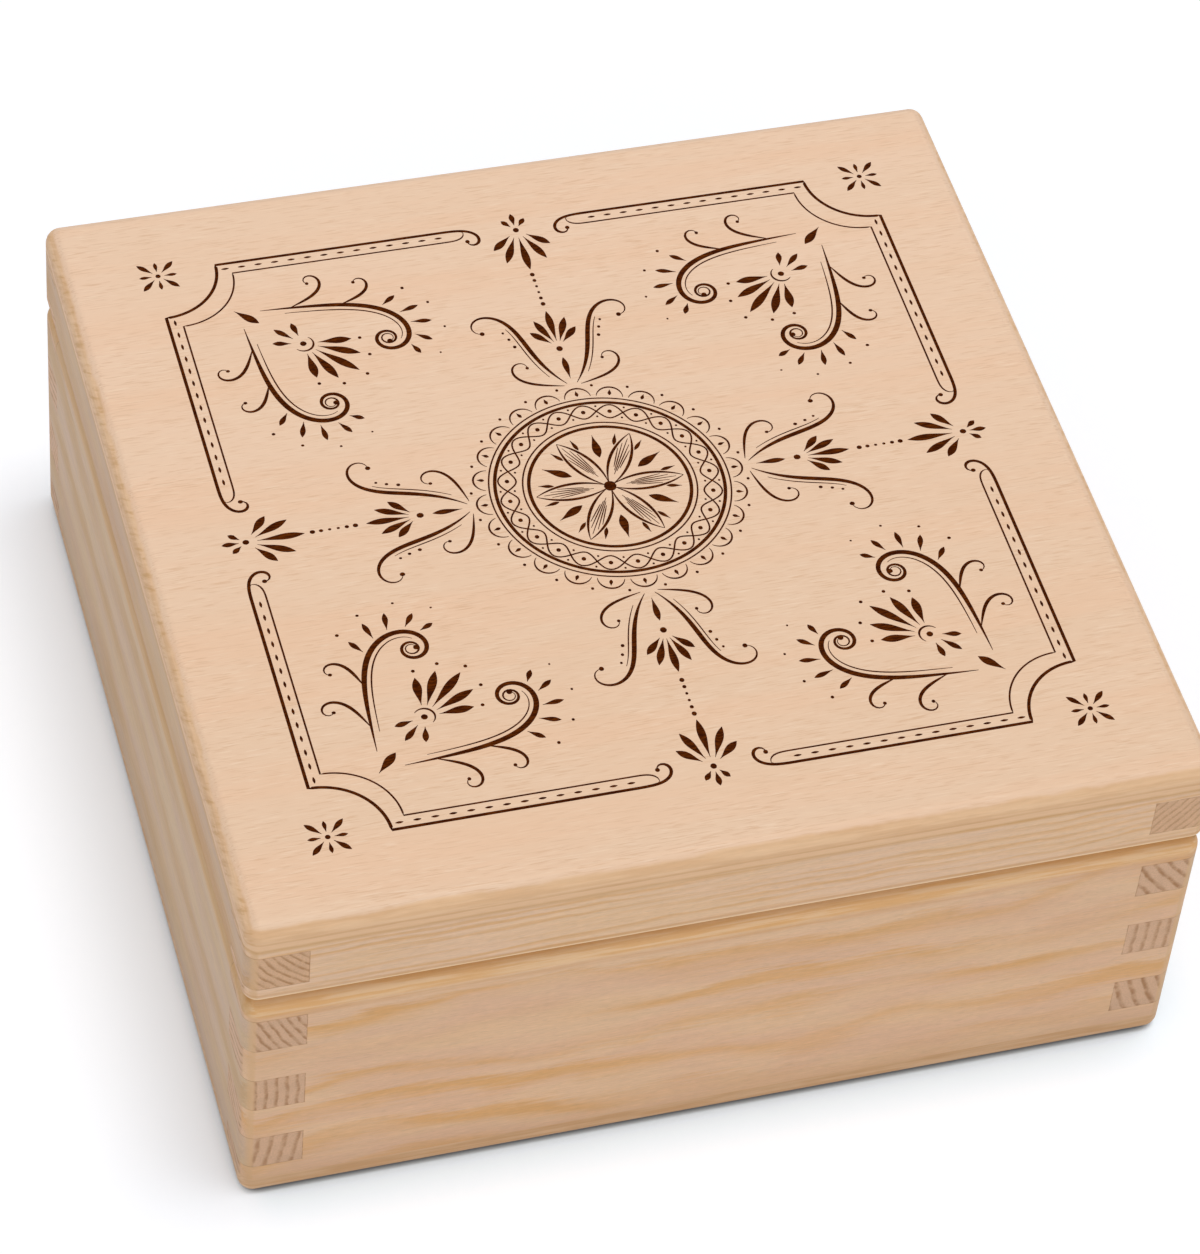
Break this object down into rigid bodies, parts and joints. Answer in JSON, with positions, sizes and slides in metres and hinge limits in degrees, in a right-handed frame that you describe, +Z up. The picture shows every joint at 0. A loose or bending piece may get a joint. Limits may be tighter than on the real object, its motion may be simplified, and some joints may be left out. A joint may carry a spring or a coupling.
{
  "type": "keepsake box",
  "caption": "Square wooden keepsake box with comb-jointed sides, rounded edges and a lid that opens upward on two butt hinges let into the back.",
  "frame": {"origin": "middle of the underside, on the surface that the box stands on", "axes": "+Z up, -Y towards the front, +Y towards the hinges, +X to the right seen from the front"},
  "size_m": [0.22, 0.22, 0.0949],
  "materials": {
    "pine_front": "satin, sanded and lightly oiled pine",
    "pine_side": "satin, sanded and lightly oiled pine with its end grain at the joints",
    "face_veneer": "satin, fine peach-coloured face veneer over plywood",
    "plywood": "satin plywood with its layers showing at the edge",
    "hinge_brass": "satin brass-plated",
    "hinge_pin": "satin",
    "brass_screw": "satin brass-plated"
  },
  "bodies": {
    "base": {"base_front_board": "pine_front", "base_back_board": "pine_front", "base_left_board": "pine_side", "base_right_board": "pine_side", "bottom_panel": "plywood", "left_hinge_base_leaf": "hinge_brass", "right_hinge_base_leaf": "hinge_brass", "left_hinge_pin": "hinge_pin", "right_hinge_pin": "hinge_pin", "base_hinge_screws": "brass_screw"},
    "lid": {"lid_front_rail": "pine_front", "lid_back_rail": "pine_front", "lid_left_rail": "pine_side", "lid_right_rail": "pine_side", "lid_top_panel": "face_veneer", "left_hinge_lid_leaf": "hinge_brass", "right_hinge_lid_leaf": "hinge_brass", "lid_hinge_screws": "brass_screw"}
  },
  "joints": [
    {"name": "lid_hinge", "type": "hinge", "parent": "base", "child": "lid", "pos_m": [0, 0.10835, 0.0712], "axis": [-1, 0, 0], "range_deg": [0, 105]}
  ]
}
